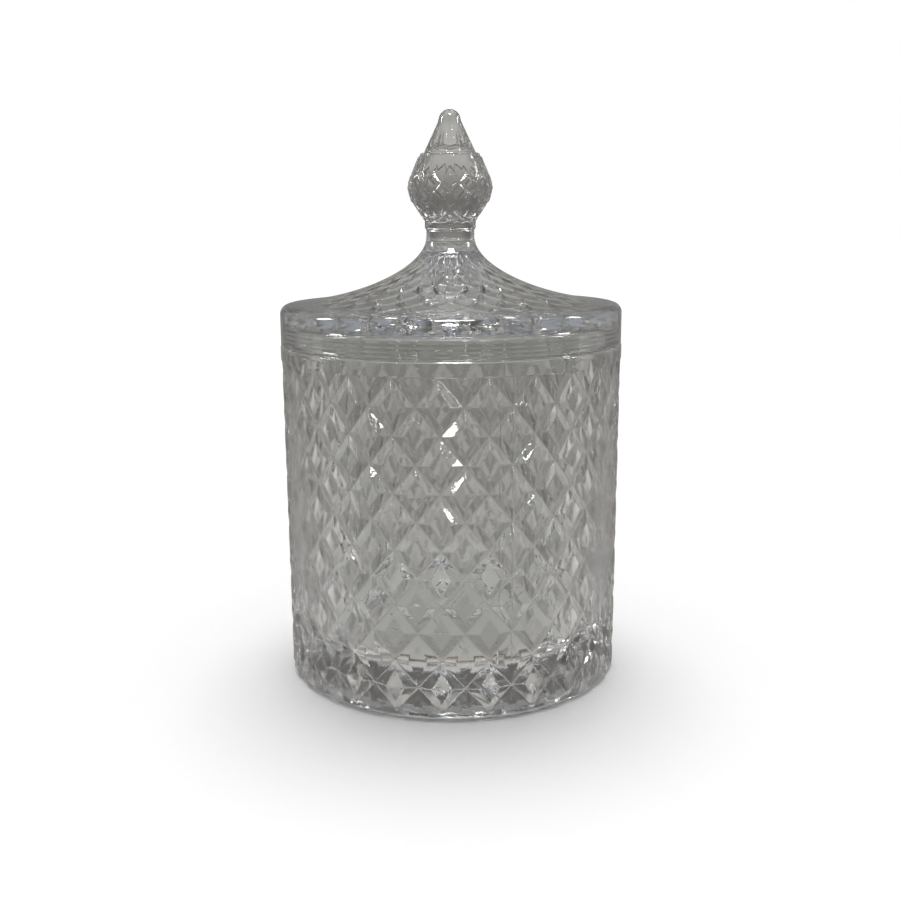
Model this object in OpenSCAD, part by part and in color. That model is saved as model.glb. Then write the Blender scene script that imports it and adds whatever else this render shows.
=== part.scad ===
// Pressed-glass powder jar with a lift-off lid, both cut all over with diamonds.
// +Z is up, the origin is the centre of the foot on the table, sizes are in millimetres.

/* [Jar body] */
// Diameter over the flats of the diamonds at the top of the body
body_d = 89.8; // [74:0.2:110]
// Height of the shoulder that the lid rests on
shoulder_h = 88.4; // [73:0.2:108]
// How much the body's radius grows from the foot to the shoulder
body_draft = 0.26; // [0:0.02:0.6]
// Radius of the outer corner at the foot
foot_corner = 3; // [2:0.1:4]
// Thickness of the glass floor
floor_t = 9.5; // [7:0.1:13]
// Thickness of the wall at the top of the body
wall_t = 9.8; // [7:0.1:12]
// Radius of the corner inside, between floor and wall
inner_corner = 6; // [3:0.1:9]
// Draft of the inner wall over its height, in radius
bore_draft = 1.2; // [0.4:0.1:2]
// Depth of the shallow recess under the foot
recess_depth = 1.2; // [0.6:0.1:1.8]
// Width of the ring that the jar stands on
foot_ring_w = 4.4; // [3:0.1:6]

/* [Diamond cutting] */
// Number of diamonds around the body
columns = 24; // [16:2:32]
// Number of rows of groove crossings between foot and bead
rows = 12; // [8:1:16]
// Height of the lowest row of groove crossings
first_row_h = 1.6; // [0:0.1:3]
// Depth of the grooves below the flats
groove_depth = 0.6; // [0.3:0.05:1]
// Share of each diamond that stays flat, from corner to corner
flat_share = 0.58; // [0.3:0.02:0.7]
// Turn of the pattern about the axis, in degrees
pattern_turn = -3.6; // [-7.5:0.1:7.5]

/* [Neck] */
// Height of the plain bead between the pattern and the shoulder
bead_h = 3.7; // [2:0.1:6]
// How far the bead stands out from the flats
bead_out = 0.25; // [0.1:0.05:0.6]
// Height of the neck above the shoulder
neck_h = 5.2; // [4.2:0.1:7]
// Thickness of the neck wall
neck_wall = 4.6; // [3:0.1:6]
// Rounding of the neck's lip
lip_r = 1.2; // [0.5:0.1:1.4]

/* [Lid] */
// How far the lid's skirt stands out from the flats of the body
lid_overhang = 0.1; // [-0.5:0.05:1]
// Thickness of the skirt wall
skirt_wall = 4.9; // [3.5:0.1:6.5]
// Gap between the skirt and the neck, all round
neck_gap = 0.7; // [0.4:0.05:1.2]
// Gap between the neck's lip and the lid's ceiling
lip_gap = 0.5; // [0.3:0.05:1]
// Thickness of the glass above the skirt
rim_t = 4.9; // [3.5:0.1:7]
// Rounding of the rim's upper edge
rim_corner = 2.4; // [1.5:0.1:3.4]
// Small rounding of the skirt's lower edges
skirt_edge = 0.4; // [0.2:0.05:0.8]
// Height of the dome from the rim to the finial's stem
dome_h = 17.1; // [12:0.1:22]
// Thickness of the glass between the dome and the hollow under it
dome_t = 4.2; // [3:0.1:5]
// Thickness of the glass between the hollow's apex and the stem
apex_t = 5.8; // [4:0.1:8]
// Radius of the hollow's rounded apex
apex_r = 3.2; // [2:0.1:4]

/* [Finial] */
// Radius of the stem at its thinnest
stem_r = 6.3; // [5:0.1:8]
// Height of the stem above the dome
stem_h = 4.4; // [3:0.1:7]
// Widest radius of the ball
ball_r = 11; // [8.5:0.1:13.5]
// How steeply the ball narrows towards the spire, in radius over height
ball_crown_slope = 0.43; // [0.3:0.01:0.55]
// Rounding of the ball above its widest level
ball_crown_round = 1.5; // [0.5:0.1:4]
// How steeply the ball narrows towards the stem, in radius over height
ball_foot_slope = 0.8; // [0.65:0.01:0.95]
// Rounding of the ball below its widest level
ball_foot_round = 4; // [3:0.1:6]
// How far the ball's cut band starts below its widest level
ball_band_low = 7.3; // [6.5:0.1:7.4]
// Height of that band
ball_band_h = 11.2; // [9:0.1:13.8]
// Diamonds around the ball
ball_columns = 14; // [10:2:20]
// Rows of groove crossings on the ball
ball_rows = 4; // [2:1:8]
// Depth of the grooves on the ball
ball_groove = 0.3; // [0.2:0.05:0.6]
// Height of the stem's top below the ball's widest level
ball_foot_h = 8.2; // [7.5:0.1:9]
// Height of the spire's foot above the ball's widest level
ball_crown_h = 8.6; // [8:0.1:10]
// Radius of the small ring under the spire
ring_r = 7.8; // [7.4:0.1:8]
// Rounding of that ring
ring_round = 0.5; // [0.3:0.05:0.6]
// Radius of the spire at its foot
spire_r = 6.8; // [5.5:0.1:7]
// Height of the spire
spire_h = 11; // [8:0.1:14]
// Rounding of the spire's tip
tip_r = 2.9; // [2:0.1:3.5]

/* [Hidden] */
round_fn = 96;
embed = 1;

body_r = body_d / 2;
foot_r = body_r - body_draft;
pattern_top = shoulder_h - bead_h;
row_pitch = (pattern_top - first_row_h) / rows;
bead_r = body_r + bead_out;

lid_r = body_r + lid_overhang;
skirt_bore_r = lid_r - skirt_wall;
neck_r = skirt_bore_r - neck_gap;
neck_bore_r = neck_r - neck_wall;
neck_top = shoulder_h + neck_h;
floor_bore_r = min(neck_bore_r, body_r - wall_t) - bore_draft;

ceiling_z = neck_top + lip_gap;
rim_top = ceiling_z + rim_t;
dome_top = rim_top + dome_h;
dome_end = lid_r - rim_corner;
// The dome's outline runs from the rim to the stem, drawn towards these two points.
dome_low = [dome_end * 0.55, rim_top + dome_h * 0.09];
dome_high = [stem_r + 0.2, rim_top + dome_h * 0.55];

ball_z = dome_top + stem_h + ball_foot_h;
ball_row_pitch = ball_band_h / ball_rows;
ball_low = ball_z - ball_band_low;
ball_high = ball_low + ball_band_h;
spire_z = ball_z + ball_crown_h;
spire_top = spire_z + spire_h;

// Points of an arc about (x, y) from angle a to angle b.
function arc(x, y, r, a, b, steps = 8) =
    [for (i = [0:steps]) let (t = a + (b - a) * i / steps) [x + r * cos(t), y + r * sin(t)]];

// Points of the cubic curve from p[0] to p[3], drawn towards p[1] and p[2].
function curve(p, steps = 20) = [
    for (i = [0:steps])
        let (t = i / steps, u = 1 - t)
            u * u * u * p[0] + 3 * u * u * t * p[1] + 3 * u * t * t * p[2] + t * t * t * p[3]
];

// A point at radius r, height z and azimuth a.
function polar(r, a, z) = [r * sin(a), -r * cos(a), z];

// Node (i, j) of a lattice: a crossing of two grooves, set half a column over in every other row.
function crossing(i, j, cols, z0, pitch, depth, radius) =
    let (z = z0 + i * pitch)
        polar(radius(z) - depth, (j + abs(i % 2) / 2) * 360 / cols, z);

// The four corners of a diamond's flat. They lie on the lines from the crossings to a common apex
// and in one plane, so that the flat and its four bevels are true planes.
function flat_corners(low, left, top, right, share, level, a) =
    let (
        mean = (norm([low.x, low.y]) + norm([top.x, top.y])) / 2,
        apex = polar((level - share * mean) / (1 - share), a, (low.z + top.z) / 2),
        flat_top = apex + share * (top - apex),
        flat_low = apex + share * (low - apex),
        normal = cross([cos(a), sin(a), 0], flat_top - flat_low),
        side = ((flat_top - apex) * normal) / ((right - apex) * normal)
    ) [flat_low, apex + side * (left - apex), flat_top, apex + side * (right - apex)];

// A solid whose side is a net of diamonds, first to last being its rows of crossings.
module diamond_solid(cols, first, last, z0, pitch, depth, share, radius) {
    count = last - first;
    crossings = [
        for (i = [first:last]) for (j = [0:cols - 1]) crossing(i, j, cols, z0, pitch, depth, radius)
    ];
    function at(i, j) = (i - first) * cols + (j + cols) % cols;
    function over(i) = abs(i % 2);
    flats = [
        for (i = [first + 1:last - 1]) for (j = [0:cols - 1])
            each flat_corners(
                crossings[at(i - 1, j + over(i))], crossings[at(i, j)],
                crossings[at(i + 1, j + over(i))], crossings[at(i, j + 1)],
                share, radius(z0 + i * pitch), (j + over(i) / 2 + 0.5) * 360 / cols)
    ];
    bevels = [
        for (i = [first + 1:last - 1]) for (j = [0:cols - 1])
            let (
                f = (count + 1) * cols + ((i - first - 1) * cols + j) * 4,
                low = at(i - 1, j + over(i)), left = at(i, j),
                top = at(i + 1, j + over(i)), right = at(i, j + 1)
            )
            each [
                [f, f + 1, f + 2, f + 3],
                [low, left, f + 1, f], [left, top, f + 2, f + 1],
                [top, right, f + 3, f + 2], [right, low, f, f + 3]
            ]
    ];
    ends = [
        for (j = [0:cols - 1]) [at(first, j), at(first + 1, j + over(first)), at(first, j + 1)],
        for (j = [0:cols - 1]) [at(last, j + 1), at(last - 1, j + over(last)), at(last, j)]
    ];
    caps = [
        [for (j = [0:cols - 1]) at(first, j)],
        [for (j = [cols - 1:-1:0]) at(last, j)]
    ];
    polyhedron(points = concat(crossings, flats), faces = concat(bevels, ends, caps));
}

// The body's diamonds, trimmed by the round corner at the foot.
module body_diamonds() {
    reach = foot_corner + embed;
    intersection() {
        rotate([0, 0, pattern_turn])
            diamond_solid(columns, -1, rows + 1, first_row_h, row_pitch, groove_depth, flat_share,
                function (z) foot_r + body_draft * z / pattern_top);
        rotate_extrude($fn = round_fn) polygon(concat(
            [[0, 0]],
            arc(body_r + embed - reach, reach, reach, -90, 0),
            [[body_r + embed, pattern_top + bead_h / 2], [0, pattern_top + bead_h / 2]]
        ));
    }
}

// The plain bead and the neck that the lid's skirt drops over.
module bead_and_neck() {
    rotate_extrude($fn = round_fn) polygon(concat(
        [[0, floor_t], [foot_r - embed * 2, floor_t], [foot_r - embed * 2, pattern_top]],
        arc(bead_r - bead_out, pattern_top + bead_out, bead_out, -90, 0, 3),
        arc(bead_r - bead_out, shoulder_h - bead_out, bead_out, 0, 90, 3),
        [[neck_r, shoulder_h]],
        arc(neck_r - lip_r, neck_top - lip_r, lip_r, 0, 90),
        [[0, neck_top]]
    ));
}

// The space inside the jar, wider at the lip so that the plunger can leave it.
module jar_bore() {
    rotate_extrude($fn = round_fn) polygon(concat(
        [[0, floor_t]],
        arc(floor_bore_r - inner_corner, floor_t + inner_corner, inner_corner, -90, 0),
        [[neck_bore_r, neck_top - lip_r]],
        arc(neck_bore_r + lip_r, neck_top - lip_r, lip_r, 180, 90),
        [[neck_bore_r + lip_r, neck_top + embed], [0, neck_top + embed]]
    ));
}

// The shallow dish under the foot.
module foot_recess() {
    ring_in = foot_r - foot_corner - foot_ring_w;
    translate([0, 0, -embed])
        cylinder(h = recess_depth + embed, r1 = ring_in + embed, r2 = ring_in - recess_depth, $fn = round_fn);
}

module jar() {
    color([0.86, 0.88, 0.87, 0.4])
        difference() {
            union() {
                body_diamonds();
                bead_and_neck();
            }
            jar_bore();
            foot_recess();
        }
}

// The ball's outline: the radius over its flats at height z.
function ball_at(z) =
    let (
        x = abs(z - ball_z),
        slope = z > ball_z ? ball_crown_slope : ball_foot_slope,
        soft = z > ball_z ? ball_crown_round : ball_foot_round
    ) ball_r - slope * (norm([x, soft]) - soft);

// The skirt, rim and dome as one turned shape, up to the foot of the stem.
module dome() {
    rotate_extrude($fn = round_fn) polygon(concat(
        [[0, shoulder_h]],
        arc(lid_r - skirt_edge, shoulder_h + skirt_edge, skirt_edge, -90, 0, 4),
        arc(dome_end, rim_top - rim_corner, rim_corner, 0, 87),
        curve([[dome_end, rim_top], dome_low, dome_high, [stem_r, dome_top]]),
        [[0, dome_top]]
    ));
}

// The stem, the core of the ball, the ring and the spire, turned in one.
module finial() {
    collar_r = stem_r + 0.4;
    tip_slope = atan2(spire_r - tip_r, spire_h);
    rotate_extrude($fn = round_fn) polygon(concat(
        [[0, dome_top - embed], [stem_r, dome_top - embed]],
        [[stem_r, dome_top + stem_h * 0.35], [collar_r, dome_top + stem_h * 0.5]],
        [[collar_r, ball_low]],
        [for (z = [ball_low:ball_row_pitch / 2:ball_high + embed / 10]) [ball_at(z) - ball_groove * 2.4, z]],
        [for (i = [0:4])
            let (z = ball_high + (spire_z - ring_round * 2 - ball_high) * i / 4) [ball_at(z), z]],
        arc(ring_r - ring_round, spire_z - ring_round, ring_round, -40, 90),
        [[spire_r, spire_z]],
        arc(0, spire_top - tip_r, tip_r, tip_slope, 90)
    ));
}

// The diamonds pressed into the ball.
module ball_diamonds() {
    intersection() {
        diamond_solid(ball_columns, -1, ball_rows + 1, ball_low, ball_row_pitch, ball_groove,
            flat_share, function (z) ball_at(z));
        translate([0, 0, ball_low])
            cylinder(h = ball_high - ball_low, r = ball_r + embed, $fn = round_fn);
    }
}

// The bell-shaped hollow under the dome, and the step that the neck stands in.
module lid_hollow() {
    rotate_extrude($fn = round_fn) polygon(concat(
        [[0, shoulder_h - embed], [skirt_bore_r + skirt_edge + embed, shoulder_h - embed]],
        [[skirt_bore_r + skirt_edge, shoulder_h], [skirt_bore_r, shoulder_h + skirt_edge]],
        [[skirt_bore_r, ceiling_z]],
        curve([
            [neck_bore_r, ceiling_z], dome_low - [dome_t, dome_t],
            dome_high + [apex_r, -dome_t], [apex_r, dome_top - apex_t]
        ]),
        [[0, dome_top - apex_t + apex_r * 0.15]]
    ));
}

module lid() {
    color([0.88, 0.9, 0.9, 0.4])
        difference() {
            union() {
                dome();
                finial();
                ball_diamonds();
            }
            lid_hollow();
        }
}

jar();
lid();
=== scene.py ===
"""Looks of a pressed-glass powder jar and its lid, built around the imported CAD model.

Sizes are in millimetres, with +Z up and the origin at the centre of the foot, as on the bench.
A mesh is brought to metres, the frame's own unit, when its piece is made.
"""

import logging
import math
from collections.abc import Callable, Sequence
from dataclasses import dataclass, field
from enum import Enum

import bmesh
import bpy
from mathutils import Matrix, Vector


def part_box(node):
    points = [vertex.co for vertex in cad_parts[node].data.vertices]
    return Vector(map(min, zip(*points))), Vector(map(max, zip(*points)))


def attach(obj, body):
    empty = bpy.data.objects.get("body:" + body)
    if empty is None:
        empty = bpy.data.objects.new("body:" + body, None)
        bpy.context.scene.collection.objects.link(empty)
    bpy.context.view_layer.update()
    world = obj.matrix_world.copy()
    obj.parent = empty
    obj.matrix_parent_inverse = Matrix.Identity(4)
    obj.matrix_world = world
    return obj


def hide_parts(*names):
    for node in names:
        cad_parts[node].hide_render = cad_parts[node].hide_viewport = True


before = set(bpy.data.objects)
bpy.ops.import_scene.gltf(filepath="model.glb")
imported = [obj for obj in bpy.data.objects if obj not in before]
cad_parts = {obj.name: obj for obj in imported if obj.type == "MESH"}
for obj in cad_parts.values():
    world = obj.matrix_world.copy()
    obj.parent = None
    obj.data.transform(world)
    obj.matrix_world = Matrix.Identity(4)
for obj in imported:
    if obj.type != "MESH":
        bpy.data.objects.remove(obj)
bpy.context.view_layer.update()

MM = 0.001
PER_METRE = 1000
ROUND_STEPS = 192
SAME_AZIMUTH = 0.2
SHADING_WEIGHT = 80
LOG = logging.getLogger("powder_jar")

Ring = list[bmesh.types.BMVert]
Outline = list[tuple[float, float]]


class Blend(Enum):
    """How a Mix node joins two colours."""

    MIX = "MIX"
    MULTIPLY = "MULTIPLY"


class Ray(Enum):
    """Outputs of a Light Path node, by the kind of ray."""

    CAMERA = 0
    DIFFUSE = 2


class Coordinates(Enum):
    """Outputs of a Texture Coordinate node."""

    GENERATED = 0
    OBJECT = 3


# ---------------------------------------------------------------- outlines


def arc(centre: tuple[float, float], radius: float, start: float, end: float, steps: int = 8) -> Outline:
    """Points of an arc in the (radius, height) plane.

    Args:
        centre: Centre of the arc.
        radius: Radius of the arc.
        start: First angle in degrees, 0 pointing outwards and 90 up.
        end: Last angle in degrees.
        steps: Number of chords.

    Returns:
        The arc's points, from start to end.
    """
    turns = [math.radians(start + (end - start) * i / steps) for i in range(steps + 1)]
    return [(centre[0] + radius * math.cos(t), centre[1] + radius * math.sin(t)) for t in turns]


def curve(points: Sequence[tuple[float, float]], steps: int = 24) -> Outline:
    """Points of the cubic curve between the first and last of four points.

    Args:
        points: The start, the two points it is drawn towards, and the end.
        steps: Number of chords.

    Returns:
        The curve's points.
    """
    found = []
    for i in range(steps + 1):
        t = i / steps
        shares = ((1 - t) ** 3, 3 * (1 - t) ** 2 * t, 3 * (1 - t) * t * t, t ** 3)
        found.append(tuple(sum(s * p[k] for s, p in zip(shares, points)) for k in (0, 1)))
    return found


def along(outline: Outline, share: float) -> tuple[float, float]:
    """The point at a share of an outline's length, which may run a little past either end."""
    lengths = [math.dist(a, b) for a, b in zip(outline, outline[1:])]
    left = share * sum(lengths)
    for i, length in enumerate(lengths):
        if left <= length or i == len(lengths) - 1:
            t = left / length
            a, b = outline[i], outline[i + 1]
            return a[0] + (b[0] - a[0]) * t, a[1] + (b[1] - a[1]) * t
        left -= length
    return outline[-1]


def polar(radius: float, azimuth: float, height: float) -> Vector:
    """The point at an azimuth in degrees, where 0 is the front and 90 is +X."""
    turn = math.radians(azimuth)
    return Vector((radius * math.sin(turn), -radius * math.cos(turn), height))


def azimuth_of(point: Vector) -> float:
    """The azimuth of a point in degrees, from 0 to 360."""
    return math.degrees(math.atan2(point.x, -point.y)) % 360


# ---------------------------------------------------------------- glass surfaces


@dataclass(frozen=True)
class DiamondNet:
    """A net of low diamonds with flat tops, pressed into a turned surface.

    Attributes:
        columns: Diamonds around the axis.
        rows: Steps between the first and the last row of groove crossings.
        depth: Depth of the grooves below the flats.
        share: Share of a diamond that its flat takes, from corner to corner.
        soft: Width of the rounding along every edge.
        turn: Turn of the net about the axis, in degrees.
        outline: Gives the (radius, height) of the flats' level at a row number.
        outwards: Gives the (radius, height) direction out of the glass at a row number.
    """

    columns: int
    rows: int
    depth: float
    share: float
    soft: float
    turn: float
    outline: Callable[[float], tuple[float, float]]
    outwards: Callable[[float], tuple[float, float]]

    def crossing(self, row: int, column: int) -> Vector:
        """The place where two grooves cross."""
        radius, height = self.outline(row)
        out_r, out_z = self.outwards(row)
        azimuth = self.turn + (column + (row % 2) / 2) * 360 / self.columns
        return polar(radius - out_r * self.depth, azimuth, height - out_z * self.depth)

    def flat(self, row: int, column: int) -> list[Vector]:
        """The corners of a diamond's flat.

        Args:
            row: Row of the diamond's left and right crossings.
            column: Column of its left crossing.

        Returns:
            The lowest, left, top and right corners, in one plane.
        """
        over = row % 2
        low, left = self.crossing(row - 1, column + over), self.crossing(row, column)
        top, right = self.crossing(row + 1, column + over), self.crossing(row, column + 1)
        azimuth = self.turn + (column + over / 2 + 0.5) * 360 / self.columns
        middle = (low + top) / 2
        radius, height = self.outline(row)
        out_r, out_z = self.outwards(row)
        level = polar(radius, azimuth, height)
        out = polar(out_r, azimuth, out_z)
        apex = middle + out * ((level - middle).dot(out) / (1 - self.share))
        flat_low, flat_top = (apex + self.share * (p - apex) for p in (low, top))
        turn = math.radians(azimuth)
        across = Vector((math.cos(turn), math.sin(turn), 0))
        normal = across.cross(flat_top - flat_low)
        side = (flat_top - apex).dot(normal) / (right - apex).dot(normal)
        return [flat_low, apex + side * (left - apex), flat_top, apex + side * (right - apex)]


class Shell:
    """A closed surface of glass, grown from nets of diamonds and turned rings."""

    def __init__(self) -> None:
        """Starts with no surface."""
        self.mesh = bmesh.new()

    def net(self, net: DiamondNet) -> tuple[Ring, Ring]:
        """Adds a net of diamonds, its edges rounded.

        Args:
            net: The net to press into the surface.

        Returns:
            The rings of points along its first and its last row.
        """
        add = self.mesh.verts.new
        crossings = {}
        for row in range(net.rows + 1):
            for column in range(net.columns):
                crossings[row, column] = add(net.crossing(row, column))
        made = []
        for row in range(net.rows + 1):
            for column in range(net.columns):
                made += self._diamond(net, crossings, row, column)
        edges = {e for face in made for e in face.edges if not e.is_boundary}
        bevel = bmesh.ops.bevel(
            self.mesh, geom=list(edges), offset=net.soft, offset_type="OFFSET", segments=2,
            profile=0.5, affect="EDGES", clamp_overlap=True)
        faces = {f for f in made if f.is_valid} | set(bevel["faces"])
        rim = {v for f in faces for v in f.verts if v.is_boundary}
        ends = [net.outline(0), net.outline(net.rows)]
        rings: tuple[Ring, Ring] = ([], [])
        for v in rim:
            place = (math.hypot(v.co.x, v.co.y), v.co.z)
            rings[math.dist(place, ends[1]) < math.dist(place, ends[0])].append(v)
        for ring in rings:
            ring.sort(key=lambda v: azimuth_of(v.co))
        return rings

    def _diamond(self, net: DiamondNet, crossings: dict, row: int, column: int) -> list:
        """Adds one diamond, or half of one on the net's first or last row.

        Args:
            net: The net it belongs to.
            crossings: Points of the net's crossings, by row and column.
            row: Row of its left and right crossings.
            column: Column of its left crossing.

        Returns:
            The faces made.
        """
        over, following = row % 2, (column + 1) % net.columns
        shifted = (column + over) % net.columns
        flat = net.flat(row, column)
        left, right = crossings[row, column], crossings[row, following]
        low = crossings.get((row - 1, shifted))
        top = crossings.get((row + 1, shifted))
        corners = [self.mesh.verts.new(p) if around else None for p, around in zip(flat, (low, 1, top, 1))]
        flat_low, flat_left, flat_top, flat_right = corners
        faces = [self.mesh.faces.new([c for c in corners if c is not None])]
        if low is not None:
            faces.append(self.mesh.faces.new([low, left, flat_left, flat_low]))
            faces.append(self.mesh.faces.new([right, low, flat_low, flat_right]))
        if top is not None:
            faces.append(self.mesh.faces.new([left, top, flat_top, flat_left]))
            faces.append(self.mesh.faces.new([top, right, flat_right, flat_top]))
        return faces

    def ring(self, radius: float, height: float, steps: int = ROUND_STEPS) -> Ring:
        """Adds a ring of points about the axis."""
        return [self.mesh.verts.new(polar(radius, i * 360 / steps, height)) for i in range(steps)]

    def like(self, ring: Ring, place: Callable[[float, float], tuple[float, float]]) -> Ring:
        """Adds a ring at another's azimuths.

        Args:
            ring: The ring to follow.
            place: Gives the new (radius, height) for an azimuth and that ring's radius there.

        Returns:
            The new ring.
        """
        made = []
        for v in ring:
            azimuth = azimuth_of(v.co)
            radius, height = place(azimuth, math.hypot(v.co.x, v.co.y))
            made.append(self.mesh.verts.new(polar(radius, azimuth, height)))
        return made

    def stitch(self, first: Ring, second: Ring) -> Ring:
        """Joins two rings with faces, whether or not they have the same number of points.

        Args:
            first: A ring sorted by azimuth.
            second: The other ring, sorted by azimuth.

        Returns:
            The second ring.
        """
        a, b = len(first), len(second)
        turns = [[azimuth_of(v.co) for v in ring] for ring in (first, second)]
        if a == b and all(abs((x - y + 180) % 360 - 180) < SAME_AZIMUTH for x, y in zip(*turns)):
            for i in range(a):
                j = (i + 1) % a
                self.mesh.faces.new([first[i], first[j], second[j], second[i]])
            return second
        i = j = 0
        while i < a or j < b:
            next_a = turns[0][i + 1] if i + 1 < a else turns[0][0] + 360
            next_b = turns[1][j + 1] if j + 1 < b else turns[1][0] + 360
            if j >= b or (i < a and next_a <= next_b):
                corners = [first[i % a], first[(i + 1) % a], second[j % b]]
                i += 1
            else:
                corners = [first[i % a], second[(j + 1) % b], second[j % b]]
                j += 1
            self.mesh.faces.new(corners)
        return second

    def turned(self, start: Ring, outline: Outline) -> Ring:
        """Carries the surface on from a ring along a turned outline, and returns the last ring."""
        for radius, height in outline:
            start = self.stitch(start, self.ring(radius, height))
        return start

    def close(self, ring: Ring, height: float) -> None:
        """Closes the surface over the axis."""
        tip = self.mesh.verts.new((0, 0, height))
        for i, v in enumerate(ring):
            self.mesh.faces.new([v, ring[(i + 1) % len(ring)], tip])

    def piece(self, name: str) -> bpy.types.Object:
        """Makes the object, with smooth shading led by its large faces.

        Args:
            name: Name of the piece.

        Returns:
            The new object, in metres.
        """
        bmesh.ops.recalc_face_normals(self.mesh, faces=self.mesh.faces)
        loose = [e for e in self.mesh.edges if not e.is_manifold]
        volume = self.mesh.calc_volume()
        LOG.info("%s: %d faces, %d open edges, %.0f mm3", name, len(self.mesh.faces), len(loose), volume)
        self.mesh.transform(Matrix.Scale(MM, 4))
        data = bpy.data.meshes.new(name)
        self.mesh.to_mesh(data)
        self.mesh.free()
        data.shade_smooth()
        made = bpy.data.objects.new(name, data)
        bpy.context.scene.collection.objects.link(made)
        lead = made.modifiers.new("large_faces_lead", "WEIGHTED_NORMAL")
        lead.weight = SHADING_WEIGHT
        return made


# ---------------------------------------------------------------- shader maths


@dataclass
class Value:
    """A socket of a node tree that takes part in Python expressions."""

    nodes: "Nodes"
    socket: bpy.types.NodeSocket

    def _maths(self, operation: str, *others: "Value | float") -> "Value":
        """Adds one Math node on this value and others."""
        return self.nodes.node("ShaderNodeMath", {"operation": operation}, (self, *others))[0]

    def __add__(self, other: "Value | float") -> "Value":
        """Sum."""
        return self._maths("ADD", other)

    def __radd__(self, other: float) -> "Value":
        """Sum, reflected."""
        return self._maths("ADD", other)

    def __sub__(self, other: "Value | float") -> "Value":
        """Difference."""
        return self._maths("SUBTRACT", other)

    def __rsub__(self, other: float) -> "Value":
        """Difference, reflected."""
        return self.nodes.node("ShaderNodeMath", {"operation": "SUBTRACT"}, (other, self))[0]

    def __mul__(self, other: "Value | float") -> "Value":
        """Product."""
        return self._maths("MULTIPLY", other)

    def __rmul__(self, other: float) -> "Value":
        """Product, reflected."""
        return self._maths("MULTIPLY", other)

    def __truediv__(self, other: "Value | float") -> "Value":
        """Quotient."""
        return self._maths("DIVIDE", other)

    def __abs__(self) -> "Value":
        """Absolute value."""
        return self._maths("ABSOLUTE")

    def above(self, edge: float) -> "Value":
        """1 where this value is above edge, else 0."""
        return self._maths("GREATER_THAN", edge)

    def ramp(self, low: float, high: float) -> "Value":
        """A smooth step from 0 at low to 1 at high."""
        settings = {"interpolation_type": "SMOOTHSTEP"}
        inputs = {"Value": self, "From Min": low, "From Max": high}
        return self.nodes.node("ShaderNodeMapRange", settings, inputs)[0]


class Nodes:
    """A node tree that is written with few words."""

    def __init__(self, tree: bpy.types.NodeTree) -> None:
        """Empties the tree."""
        self.tree = tree
        tree.nodes.clear()

    def node(self, kind: str, settings: dict | None = None,
             inputs: dict | Sequence | None = None) -> list[Value]:
        """Adds any node.

        Args:
            kind: The node's type.
            settings: Its own properties, set before its sockets.
            inputs: Values or links of its sockets, by name, or in order.

        Returns:
            Its outputs.
        """
        made = self.tree.nodes.new(kind)
        for name, value in (settings or {}).items():
            setattr(made, name, value)
        named = inputs if isinstance(inputs, dict) else dict(enumerate(inputs or ()))
        for key, value in named.items():
            if isinstance(value, Value):
                self.tree.links.new(value.socket, made.inputs[key])
            else:
                made.inputs[key].default_value = value
        return [Value(self, s) for s in made.outputs]

    def mix(self, blend: Blend, share: "Value | float",
            first: "Value | tuple", second: "Value | tuple") -> Value:
        """Mixes two colours.

        Args:
            blend: How the second colour is joined to the first.
            share: How much of the second colour counts.
            first: Colour, as a link or as three numbers.
            second: Colour, as a link or as three numbers.

        Returns:
            The mixed colour.
        """
        colours = [c if isinstance(c, Value) else (*c, 1) for c in (first, second)]
        settings = {"data_type": "RGBA", "blend_type": blend.value}
        return self.node("ShaderNodeMix", settings, {0: share, 6: colours[0], 7: colours[1]})[2]

    def scaled(self, colour: "Value | tuple", by: "Value | float") -> Value:
        """A colour times a number."""
        return self.node("ShaderNodeVectorMath", {"operation": "SCALE"}, {0: colour, 3: by})[0]

    def ramp(self, value: Value, stops: Sequence[tuple[float, tuple]]) -> Value:
        """A colour ramp.

        Args:
            value: Where on the ramp, from 0 to 1.
            stops: Places and colours, in order.

        Returns:
            The colour there.
        """
        output = self.node("ShaderNodeValToRGB", {}, [value])[0]
        elements = output.socket.node.color_ramp.elements
        while len(elements) < len(stops):
            elements.new(1.0)
        for element, (place, colour) in zip(elements, stops):
            element.position = place
            element.color = (*colour, 1)
        return output


# ---------------------------------------------------------------- finishes


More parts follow.
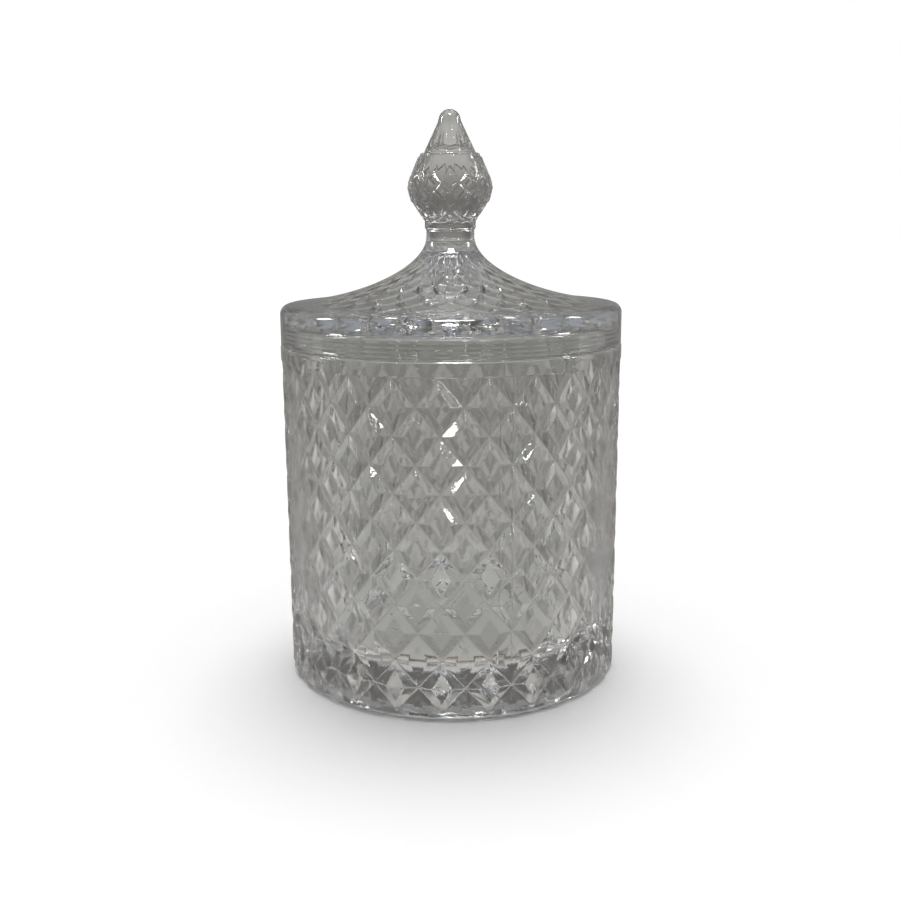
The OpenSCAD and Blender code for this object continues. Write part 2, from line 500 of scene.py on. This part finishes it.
@dataclass(frozen=True)
class PressedGlass:
    """Pressed soda-lime glass, fire-polished, with the faint ripple that the mould leaves.

    Attributes:
        name: Name of the material.
        tint: Share of each colour that a face lets through.
        ior: Index of refraction.
        roughness: Roughness of the polished face.
        ripple: Height of the ripple in millimetres.
        ripple_width: Width of one ripple in millimetres.
        ripple_detail: How many finer ripples ride on the broad one.
        ripple_roughness: How strong the finer ripples are.
        seams: Azimuths of the mould's seams, in degrees.
        seam_height: Height of a seam in millimetres.
        seam_width: Half width of a seam in millimetres.
    """

    name: str
    tint: tuple[float, float, float] = (0.93, 0.94, 0.935)
    ior: float = 1.51
    roughness: float = 0.0
    ripple: float = 0.05
    ripple_width: float = 5.5
    ripple_detail: float = 4.0
    ripple_roughness: float = 0.55
    seams: tuple[float, ...] = ()
    seam_height: float = 0.08
    seam_width: float = 0.5

    def material(self) -> bpy.types.Material:
        """Builds the material."""
        made = bpy.data.materials.new(self.name)
        made.use_nodes = True
        nodes = Nodes(made.node_tree)
        place = nodes.node("ShaderNodeTexCoord")[Coordinates.OBJECT.value]
        wave = nodes.node("ShaderNodeTexNoise", {}, {
            "Vector": place, "Scale": 1 / (self.ripple_width * MM),
            "Detail": self.ripple_detail, "Roughness": self.ripple_roughness})[0]
        relief = wave * self.ripple
        x, y, _ = nodes.node("ShaderNodeSeparateXYZ", {}, [place])
        for seam in self.seams:
            turn = math.radians(seam)
            aside = abs(x * math.cos(turn) + y * math.sin(turn)) / MM
            ahead = (x * math.sin(turn) - y * math.cos(turn)).above(0.0)
            relief = (1 - aside.ramp(0.0, self.seam_width)) * ahead * self.seam_height + relief
        bump = nodes.node("ShaderNodeBump", {}, {"Height": relief, "Strength": 1.0, "Distance": MM})[0]
        shader = nodes.node("ShaderNodeBsdfPrincipled", {}, {
            "Base Color": (*self.tint, 1), "Roughness": self.roughness, "IOR": self.ior,
            "Transmission Weight": 1.0, "Normal": bump})[0]
        nodes.node("ShaderNodeOutputMaterial", {}, {"Surface": shader})
        return made


# ---------------------------------------------------------------- the jar


@dataclass
class Jar:
    """The body, with its net of diamonds, its neck, its thick floor and the hollow under the foot.

    Attributes:
        foot_reach: How far the foot's corner runs up past its own radius.
        foot_start: Share of the first row's height that lies above the corner.
        foot_flat: How far the standing ring runs out past the middle of the corner.
        recess_curl: How far the hollow's side curls in, as a share of its half depth.
        recess_mid: Radius of the hollow's inner ring, as a share of its own.
        recess_dish: Depths of that ring and of the middle, as shares of the hollow's depth.
        neck_root: Radius of the fillet between shoulder and neck.
        floor_mid: Radius of the floor's inner ring, as a share of the bore's.
        lid_clearance: Gap left under the lid's seat, so that the two skins don't coincide.
    """

    body_r: float = 44.9
    draft: float = 0.26
    shoulder_h: float = PER_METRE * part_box("lid")[0].z
    neck_top: float = PER_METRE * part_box("jar")[1].z
    columns: int = 24
    rows: int = 12
    first_row_h: float = 1.6
    groove_depth: float = 0.6
    flat_share: float = 0.58
    edge_soft: float = 0.28
    pattern_turn: float = -3.6
    bead_h: float = 3.7
    bead_out: float = 0.25
    neck_r: float = 39.4
    neck_wall: float = 4.6
    lip_r: float = 1.2
    floor_t: float = 9.5
    floor_bore_r: float = 33.6
    inner_corner: float = 6.0
    foot_corner: float = 3.0
    foot_ring_w: float = 4.4
    recess_depth: float = 1.2
    foot_reach: float = 1.0
    foot_start: float = 0.75
    foot_flat: float = -1.2
    recess_curl: float = 1.83
    recess_mid: float = 0.5
    recess_dish: tuple[float, float] = (1.02, 1.05)
    neck_root: float = 0.4
    floor_mid: float = 0.4
    lid_clearance: float = 0.06
    finish: PressedGlass = field(
        default_factory=lambda: PressedGlass("jar_pressed_glass", seams=(19, 139, 259)))

    @property
    def pattern_top(self) -> float:
        """Height where the diamonds end under the bead."""
        return self.shoulder_h - self.bead_h

    def diamonds(self) -> DiamondNet:
        """The net of diamonds round the body."""
        pitch = (self.pattern_top - self.first_row_h) / self.rows

        def outline(row: float) -> tuple[float, float]:
            """The straight side of the body."""
            height = self.first_row_h + row * pitch
            return self.body_r - self.draft * (1 - height / self.pattern_top), height

        return DiamondNet(self.columns, self.rows, self.groove_depth, self.flat_share, self.edge_soft,
                          self.pattern_turn, outline, lambda row: (1.0, 0.0))

    def build(self) -> bpy.types.Object:
        """Builds and dresses the jar."""
        shell = Shell()
        foot, crown = shell.net(self.diamonds())
        self._foot(shell, foot)
        self._neck_and_bore(shell, crown)
        jar = shell.piece("jar_glass")
        jar.data.materials.append(self.finish.material())
        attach(jar, "jar")
        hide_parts("jar")
        return jar

    def _foot(self, shell: Shell, edge: Ring) -> None:
        """The corner, the ring that the jar stands on and the hollow inside it."""
        reach = self.foot_corner + self.foot_reach
        centre = (self.body_r - self.foot_corner, reach)
        foot_r = self.body_r - self.draft
        turn = math.degrees(math.asin((reach - self.first_row_h * self.foot_start) / reach))
        for radius, height in arc(centre, reach, -turn, -90, 10):
            edge = shell.stitch(edge, shell.like(edge, lambda a, r: (min(r, radius), height)))
        ring_in = foot_r - self.foot_corner - self.foot_ring_w
        soft = self.recess_depth / 2
        outline = arc((ring_in + soft, soft), soft, -90, -135, 4)
        outline += arc((ring_in - soft * self.recess_curl, soft), soft, 45, 90, 4)
        ring_dish, middle_dish = self.recess_dish
        outline.append((ring_in * self.recess_mid, self.recess_depth * ring_dish))
        last = shell.turned(edge, [(centre[0] + self.foot_flat, 0.0), *outline])
        shell.close(last, self.recess_depth * middle_dish)

    def _neck_and_bore(self, shell: Shell, edge: Ring) -> None:
        """The bead, shoulder, neck and lip, and the inside down to the floor."""
        top = self.shoulder_h - self.lid_clearance
        out, lip = self.bead_out, self.lip_r
        bore_r = self.neck_r - self.neck_wall
        root = self.neck_root
        outline = [
            *arc((self.body_r, self.pattern_top + out), out, -90, 0, 3),
            *arc((self.body_r, top - out), out, 0, 90, 3),
            *arc((self.neck_r + root, top + root), root, 270, 180, 3),
            *arc((self.neck_r - lip, self.neck_top - lip), lip, 0, 90, 8),
            *arc((bore_r + lip, self.neck_top - lip), lip, 90, 180, 8),
            *arc((self.floor_bore_r - self.inner_corner, self.floor_t + self.inner_corner),
                 self.inner_corner, 0, -90, 14),
            (self.floor_bore_r * self.floor_mid, self.floor_t),
        ]
        shell.close(shell.turned(edge, outline), self.floor_t)


# ---------------------------------------------------------------- the lid


@dataclass
class Lid:
    """The lid: skirt, rim and dome, the net pressed into its underside, and the finial pressed with it.

    Attributes:
        skirt_steps: Levels of the faint rings inside the skirt.
        flute_start: How far inside the skirt's bore the rim's flutes start, in fillets.
        flute_end: How far outside the hollow they end.
        ceiling_lip: Width of the plain ceiling round the hollow.
        dome_low: The dome's low pull, as shares of its end radius and of its height.
        dome_high: The high pull: how far it lies outside the stem, and its share of the height.
        under_end: Share of the hollow's outline that the net covers.
        dish_r: Radius of the small dish over the net, at the hollow's apex.
        dish_drop: How far the dish's widest level lies below the apex.
        dish_h: Height of the dish.
        dish_shares: Its rings, as shares of its radius.
        collar_out: How far the collar under the ball stands out from the stem.
        collar_drop: How far below the ball's diamonds the beads end.
        stem_flare: Heights where the collar ends, bends and meets the stem, as shares of the stem's.
        bead_rings: How far each ring of the beads lies below the diamonds and outside the collar.
        shelf_round: Rounding of the ball's upper edge under the ring.
        shelf_drop: How far that rounding lies below the ring.
        spire_levels: Levels of the spire's side, as shares of its height.
        spire_flutes_h: Share of the spire's height over which its flutes fade out.
    """

    bottom: float = PER_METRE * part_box("lid")[0].z
    tip_z: float = PER_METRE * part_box("lid")[1].z
    lid_r: float = PER_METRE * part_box("lid")[1].x
    skirt_wall: float = 4.9
    skirt_edge: float = 0.4
    ceiling_fillet: float = 0.9
    skirt_rings: int = 4
    skirt_ring_depth: float = 0.02
    ceiling_h: float = 5.7
    rim_t: float = 4.9
    rim_corner: float = 2.4
    rim_flutes: int = 48
    rim_flute_depth: float = 0.7
    skirt_steps: int = 40
    flute_start: float = 1.3
    flute_end: float = 1.0
    ceiling_lip: float = 0.3
    dome_h: float = 17.1
    dome_t: float = 4.2
    apex_t: float = 5.8
    apex_r: float = 3.2
    dome_low: tuple[float, float] = (0.55, 0.09)
    dome_high: tuple[float, float] = (0.2, 0.55)
    neck_bore_r: float = 34.8
    under_columns: int = 24
    under_rows: int = 6
    under_depth: float = 0.9
    under_end: float = 0.9
    under_soft: float = 0.1
    dish_r: float = 5.0
    dish_drop: float = 1.6
    dish_h: float = 2.2
    dish_shares: tuple[float, ...] = (0.7, 0.4, 0.15)
    stem_r: float = 6.3
    stem_h: float = 4.4
    collar_out: float = 0.4
    collar_drop: float = 1.2
    stem_flare: tuple[float, float, float] = (0.6, 0.45, 0.35)
    ball_r: float = 11.0
    ball_crown: tuple[float, float] = (0.43, 1.5)
    ball_foot: tuple[float, float] = (0.8, 4.0)
    ball_band_low: float = 7.3
    ball_band_h: float = 11.2
    ball_columns: int = 14
    ball_rows: int = 4
    ball_groove: float = 0.14
    ball_share: float = 0.66
    ball_soft: float = 0.2
    beads: int = 28
    bead_depth: float = 0.3
    bead_rings: tuple[tuple[float, float], ...] = ((0.35, 0.35), (0.9, 0.15))
    ball_foot_h: float = 8.2
    ball_crown_h: float = 8.6
    flat_share: float = 0.58
    ring_r: float = 7.8
    ring_round: float = 0.5
    shelf_round: float = 0.2
    shelf_drop: float = 0.1
    spire_r: float = 6.8
    spire_h: float = 11.0
    tip_r: float = 2.9
    flute_depth: float = 0.4
    spire_levels: tuple[float, ...] = (0.0, 0.03, 0.1, 0.2, 0.35, 0.5, 0.65, 0.8, 0.95)
    spire_flutes_h: float = 0.7
    finish: PressedGlass = field(default_factory=lambda: PressedGlass("lid_pressed_glass"))

    @property
    def ceiling_z(self) -> float:
        """Height of the flat ceiling over the neck."""
        return self.bottom + self.ceiling_h

    @property
    def rim_top(self) -> float:
        """Height where the dome starts."""
        return self.ceiling_z + self.rim_t

    @property
    def dome_top(self) -> float:
        """Height where the stem starts."""
        return self.rim_top + self.dome_h

    @property
    def ball_z(self) -> float:
        """Height of the ball's widest level."""
        return self.dome_top + self.stem_h + self.ball_foot_h

    @property
    def dome_pulls(self) -> tuple[tuple[float, float], tuple[float, float]]:
        """The two points that the dome's outline is drawn towards."""
        (share, low_rise), (out, high_rise) = self.dome_low, self.dome_high
        low = ((self.lid_r - self.rim_corner) * share, self.rim_top + self.dome_h * low_rise)
        return low, (self.stem_r + out, self.rim_top + self.dome_h * high_rise)

    def ball_at(self, height: float) -> float:
        """Radius of the ball over its flats at a height."""
        slope, soft = self.ball_crown if height > self.ball_z else self.ball_foot
        return self.ball_r - slope * (math.hypot(height - self.ball_z, soft) - soft)

    def build(self) -> bpy.types.Object:
        """Builds and dresses the lid."""
        shell = Shell()
        ball_low, ball_high = shell.net(self.ball_diamonds())
        self._dome(shell, ball_low)
        self._spire(shell, ball_high)
        lid = shell.piece("lid_glass")
        lid.data.materials.append(self.finish.material())
        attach(lid, "lid")
        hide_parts("lid")
        return lid

    def ball_diamonds(self) -> DiamondNet:
        """The net of small diamonds round the ball."""
        pitch = self.ball_band_h / self.ball_rows

        def outline(row: float) -> tuple[float, float]:
            """The ball's round side."""
            height = self.ball_z - self.ball_band_low + row * pitch
            return self.ball_at(height), height

        return DiamondNet(self.ball_columns, self.ball_rows, self.ball_groove, self.ball_share,
                          self.ball_soft, 0.0, outline, lambda row: (1.0, 0.0))

    def under_diamonds(self) -> DiamondNet:
        """The net pressed into the dome's underside, its diamonds drawn out towards the apex."""
        low, high = self.dome_pulls
        hollow = curve([
            (self.neck_bore_r, self.ceiling_z), (low[0] - self.dome_t, low[1] - self.dome_t),
            (high[0] + self.apex_r, high[1] - self.dome_t),
            (self.apex_r, self.dome_top - self.apex_t)], steps=60)

        def outline(row: float) -> tuple[float, float]:
            """The hollow's outline, from the ceiling towards the apex."""
            return along(hollow, self.under_end * row / self.under_rows)

        def outwards(row: float) -> tuple[float, float]:
            """Square to that outline, into the hollow."""
            near = 0.2
            a, b = outline(row - near), outline(row + near)
            run, rise = a[0] - b[0], b[1] - a[1]
            size = math.hypot(run, rise)
            return -rise / size, -run / size

        return DiamondNet(self.under_columns, self.under_rows, self.under_depth, self.flat_share,
                          self.under_soft, 0.0, outline, outwards)

    def _dome(self, shell: Shell, stem_edge: Ring) -> None:
        """Everything below the ball: stem, dome, rim, skirt, ceiling and the pressed underside."""
        collar = self.stem_r + self.collar_out
        low, high = self.dome_pulls
        dome_end = self.lid_r - self.rim_corner
        bore_r = self.lid_r - self.skirt_wall
        edge, fillet = self.skirt_edge, self.ceiling_fillet
        collar_z, bend_z, stem_z = (self.dome_top + self.stem_h * share for share in self.stem_flare)
        bead_z = self.ball_z - self.ball_band_low
        for lift, grow in self.bead_rings:
            radius = collar + grow + self.bead_depth
            stem_edge = shell.stitch(stem_edge, shell.like(stem_edge, lambda a, r: (
                radius - self.bead_depth * abs(math.sin(math.radians(a * self.beads / 2))), bead_z - lift)))
        outside = [
            (collar, bead_z - self.collar_drop),
            *curve([(collar, collar_z), (collar, bend_z), (self.stem_r, bend_z), (self.stem_r, stem_z)], 4),
            *curve([(self.stem_r, self.dome_top), high, low, (dome_end, self.rim_top)], 40),
            *arc((dome_end, self.rim_top - self.rim_corner), self.rim_corner, 85, 0, 10),
            *arc((self.lid_r - edge, self.bottom + edge), edge, 0, -90, 4),
            *arc((bore_r + edge, self.bottom + edge), edge, 270, 180, 4),
            *[(bore_r + self.skirt_ring_depth * (1 - math.cos(math.tau * self.skirt_rings * t)),
               self.bottom + edge + (self.ceiling_h - edge - fillet) * t)
              for t in (i / self.skirt_steps for i in range(1, self.skirt_steps))],
            *arc((bore_r - fillet, self.ceiling_z - fillet), fillet, 0, 90, 5),
        ]
        ceiling = shell.turned(stem_edge, outside)
        for radius, lift in ((bore_r - fillet * self.flute_start, self.rim_flute_depth),
                             (self.neck_bore_r + self.flute_end, self.rim_flute_depth),
                             (self.neck_bore_r + self.ceiling_lip, 0.0)):
            ceiling = shell.stitch(ceiling, shell.like(ceiling, lambda a, r: (
                radius, self.ceiling_z + lift * abs(math.sin(math.radians(a * self.rim_flutes / 2))))))
        outer, inner = shell.net(self.under_diamonds())
        shell.stitch(ceiling, outer)
        apex_z = self.dome_top - self.apex_t
        last = inner
        for share in self.dish_shares:
            bend = math.sqrt(1 - share * share)
            height = apex_z - self.dish_drop + self.dish_h * bend
            last = shell.stitch(last, shell.ring(self.dish_r * share, height, ROUND_STEPS // 2))
        shell.close(last, apex_z - self.dish_drop + self.dish_h)

    def _spire(self, shell: Shell, ball_edge: Ring) -> None:
        """The ball's crown, the ring and the fluted spire up to its tip."""
        crown_z = self.ball_z + self.ball_crown_h
        soft = self.ring_round
        shelf = crown_z - soft * 2
        centre = (self.ball_at(shelf) - self.shelf_round, shelf - self.shelf_drop)
        outside = arc(centre, self.shelf_round, 20, 90, 4)
        outside += arc((self.ring_r - soft, crown_z - soft), soft, -30, 90, 6)
        edge = shell.turned(ball_edge, outside)
        tip_z = self.tip_z
        spire_top = tip_z - self.tip_r
        slope = math.degrees(math.atan2(self.spire_r - self.tip_r, self.spire_h))
        side = [(self.spire_r + (self.tip_r - self.spire_r) * t, crown_z + (spire_top - crown_z) * t)
                for t in self.spire_levels]
        for radius, height in [*side, *arc((0, spire_top), self.tip_r, slope, 80, 8)]:
            fade = max(0.0, 1 - (height - crown_z) / (self.spire_h * self.spire_flutes_h))
            depth = self.flute_depth * fade
            edge = shell.stitch(edge, shell.like(edge, lambda a, r: (
                radius - depth * (1 - abs(math.sin(math.radians(a * self.ball_columns / 2)))), height)))
        shell.close(edge, tip_z)


# ---------------------------------------------------------------- the set


@dataclass(frozen=True)
class Viewpoint:
    """The camera's place and lens, in millimetres and degrees, and its clip range in metres."""

    place: tuple[float, float, float] = (-0.45, -298.2, 120.1)
    look_down: float = 11.61
    roll: float = -0.36
    lens: float = 44.58
    sensor: float = 36.0
    clip: tuple[float, float] = (0.01, 100.0)

    def build(self) -> bpy.types.Object:
        """Makes the scene's camera."""
        data = bpy.data.cameras.new("camera")
        data.lens = self.lens
        data.sensor_width = self.sensor
        data.clip_start, data.clip_end = self.clip
        made = bpy.data.objects.new("camera", data)
        tilt = Matrix.Rotation(math.radians(90 - self.look_down), 4, "X")
        roll = Matrix.Rotation(math.radians(self.roll), 4, "Z")
        made.matrix_world = Matrix.Translation(Vector(self.place) * MM) @ tilt @ roll
        bpy.context.scene.collection.objects.link(made)
        bpy.context.scene.camera = made
        return made


@dataclass(frozen=True)
class Softbox:
    """A soft rectangle of light in the room, as the glass sees it.

    Attributes:
        azimuth: Its middle, in degrees from the front, where 90 is +X.
        elevation: Its middle, in degrees above the horizon.
        width: Its width in degrees.
        height: Its height in degrees.
        strength: How bright it is.
    """

    azimuth: float
    elevation: float
    width: float
    height: float
    strength: float


@dataclass
class Room:
    """The pale floor, the white surroundings, and the grey room that only the glass sees.

    Attributes:
        shades: Brightness of the room by elevation in degrees.
        cool_sky: Tint of its shades from sky_from upwards.
        dark_side: Tint of the room at the front, full at a depth of dark_reach.
        sides: Brightness from the middle (0) to either side (1).
        gain: What the shades and sides are multiplied by, since a ramp holds no more than 1.
        warmth: Tint of the whole room.
        floor_light: Brightness of the surroundings as the floor sees them.
        sun: Strength of the lamp over the floor, from sun_from, sun_width degrees wide.
        softbox_core: Share of a softbox's width and height that is fully bright.
        ahead: How far in front a direction has to lie to count for a softbox.
        floor_gap: How far the floor lies below the foot, in millimetres.
        bounces: Limit on a ray's turns, all told and through glass.
    """

    shades: tuple[tuple[float, float], ...] = (
        (-90, 0.50), (-45, 0.50), (-28, 0.48), (-20, 0.41), (-12, 0.32), (-4, 0.24), (6, 0.22),
        (17, 0.12), (34, 0.14), (50, 0.30), (90, 0.34))
    sky_from: float = 50.0
    dark_side: tuple[float, float, float] = (0.46, 0.38, 0.33)
    dark_reach: float = -0.6
    sides: tuple[tuple[float, float], ...] = (
        (0, 1.0), (0.3, 1.0), (0.5, 0.6), (0.68, 0.55), (0.8, 1.3), (1, 1.4))
    gain: float = 2.0
    warmth: tuple[float, float, float] = (1.02, 1.0, 0.965)
    cool_sky: tuple[float, float, float] = (0.9, 0.97, 1.12)
    floor_light: float = 0.68
    sun: float = 1.5
    sun_from: tuple[float, float, float] = (0.0, 0.22, 0.9)
    sun_width: float = 36.0
    softboxes: tuple[Softbox, ...] = (
        Softbox(3, 63, 20, 15, 45.0),
        Softbox(11, 12, 4.5, 3, 45.0),
        Softbox(-37, 12, 4, 3, 45.0),
        Softbox(39, 12, 4, 3, 45.0),
        Softbox(27, 6, 4.5, 3, 45.0),
        Softbox(-26, 8, 4.5, 3, 45.0),
        Softbox(22, 9, 4, 3, 45.0),
        Softbox(-98, 25, 10, 16, 30.0),
        Softbox(96, 28, 8, 14, 30.0),
    )
    softbox_core: float = 0.8
    ahead: float = 0.05
    floor_radius: float = 6000.0
    floor_gap: float = 0.3
    floor_steps: int = 96
    floor_paint: tuple[float, float, float] = (0.93, 0.93, 0.93)
    bounces: int = 32
    glossy_bounces: int = 16

    def build(self) -> None:
        """Makes the floor, the world and the lamp."""
        self._floor()
        self._world()
        self._lamp()
        view = bpy.context.scene.view_settings
        view.view_transform = "Standard"
        light_paths = bpy.context.scene.cycles
        light_paths.max_bounces = self.bounces
        light_paths.transmission_bounces = self.bounces
        light_paths.glossy_bounces = self.glossy_bounces

    def _floor(self) -> None:
        """A round pale floor, which the glass doesn't see."""
        disc = bmesh.new()
        bmesh.ops.create_circle(disc, cap_ends=True, segments=self.floor_steps, radius=self.floor_radius * MM)
        data = bpy.data.meshes.new("floor")
        disc.to_mesh(data)
        disc.free()
        floor = bpy.data.objects.new("floor", data)
        floor.location.z = -self.floor_gap * MM
        floor.visible_transmission = False
        floor.visible_glossy = False
        bpy.context.scene.collection.objects.link(floor)
        material = bpy.data.materials.new("pale_floor")
        material.use_nodes = True
        nodes = Nodes(material.node_tree)
        paint = nodes.node("ShaderNodeBsdfDiffuse", {}, {"Color": (*self.floor_paint, 1)})[0]
        nodes.node("ShaderNodeOutputMaterial", {}, {"Surface": paint})
        data.materials.append(material)

    def _world(self) -> None:
        """White for the eye and the floor, and a grey room with soft lights for the glass."""
        world = bpy.data.worlds.new("room")
        bpy.context.scene.world = world
        world.use_nodes = True
        world.cycles.sampling_method = "NONE"
        nodes = Nodes(world.node_tree)
        way = nodes.node("ShaderNodeTexCoord")[Coordinates.GENERATED.value]
        x, y, z = nodes.node("ShaderNodeSeparateXYZ", {}, [way])
        white = (1.0, 1.0, 1.0)
        levels = []
        for elevation, shade in self.shades:
            tint = self.cool_sky if elevation >= self.sky_from else white
            levels.append(((math.sin(math.radians(elevation)) + 1) / 2, tuple(shade * c for c in tint)))
        room = nodes.ramp((z + 1) * 0.5, levels)
        front = nodes.mix(Blend.MIX, y.ramp(0.0, self.dark_reach), white, self.dark_side)
        room = nodes.mix(Blend.MULTIPLY, 1.0, room, front)
        room = nodes.mix(Blend.MULTIPLY, 1.0, room, self.warmth)
        beside = nodes.ramp(abs(x), [(place, (shade / self.gain,) * 3) for place, shade in self.sides])
        room = nodes.scaled(nodes.mix(Blend.MULTIPLY, 1.0, room, beside), self.gain)
        lights: Value | float = 0.0
        for box in self.softboxes:
            lights = self._softbox(nodes, way, box) + lights
        lit = nodes.scaled(white, lights)
        room = nodes.node("ShaderNodeVectorMath", {"operation": "ADD"}, [room, lit])[0]
        path = nodes.node("ShaderNodeLightPath")
        light = nodes.mix(Blend.MIX, path[Ray.CAMERA.value], room, white)
        light = nodes.mix(Blend.MIX, path[Ray.DIFFUSE.value], light, (self.floor_light,) * 3)
        shown = nodes.node("ShaderNodeBackground", {}, {"Color": light, "Strength": 1.0})[0]
        nodes.node("ShaderNodeOutputWorld", {}, {"Surface": shown})

    def _softbox(self, nodes: Nodes, way: Value, box: Softbox) -> Value:
        """The light of one softbox in a direction."""
        rise = math.radians(box.elevation)
        middle = polar(math.cos(rise), box.azimuth, math.sin(rise))
        side = Vector((0, 0, 1)).cross(middle).normalized()
        over = middle.cross(side)
        parts = [nodes.node("ShaderNodeVectorMath", {"operation": "DOT_PRODUCT"}, [way, axis])[1]
                 for axis in (middle, side, over)]
        half_w, half_h = (math.tan(math.radians(a / 2)) for a in (box.width, box.height))
        ahead = parts[0].above(self.ahead)
        across = abs(parts[1] / parts[0])
        upright = abs(parts[2] / parts[0])
        core = self.softbox_core
        shape = (1 - across.ramp(half_w * core, half_w)) * (1 - upright.ramp(half_h * core, half_h))
        return shape * ahead * box.strength

    def _lamp(self) -> None:
        """A wide soft sun above and behind, which lights only the floor."""
        data = bpy.data.lights.new("lamp", "SUN")
        data.energy = self.sun
        data.angle = math.radians(self.sun_width)
        lamp = bpy.data.objects.new("lamp", data)
        lamp.location = self.sun_from
        lamp.rotation_euler = (-Vector(lamp.location)).to_track_quat("-Z", "Y").to_euler()
        lamp.visible_camera = False
        lamp.visible_glossy = False
        lamp.visible_transmission = False
        bpy.context.scene.collection.objects.link(lamp)


def main() -> None:
    """Builds the camera, the set, the jar and the lid in turn."""
    logging.basicConfig(level=logging.INFO, format="%(name)s: %(message)s")
    Viewpoint().build()
    Room().build()
    for part in (Jar(), Lid()):
        piece = part.build()


if __name__ == "__main__":
    main()
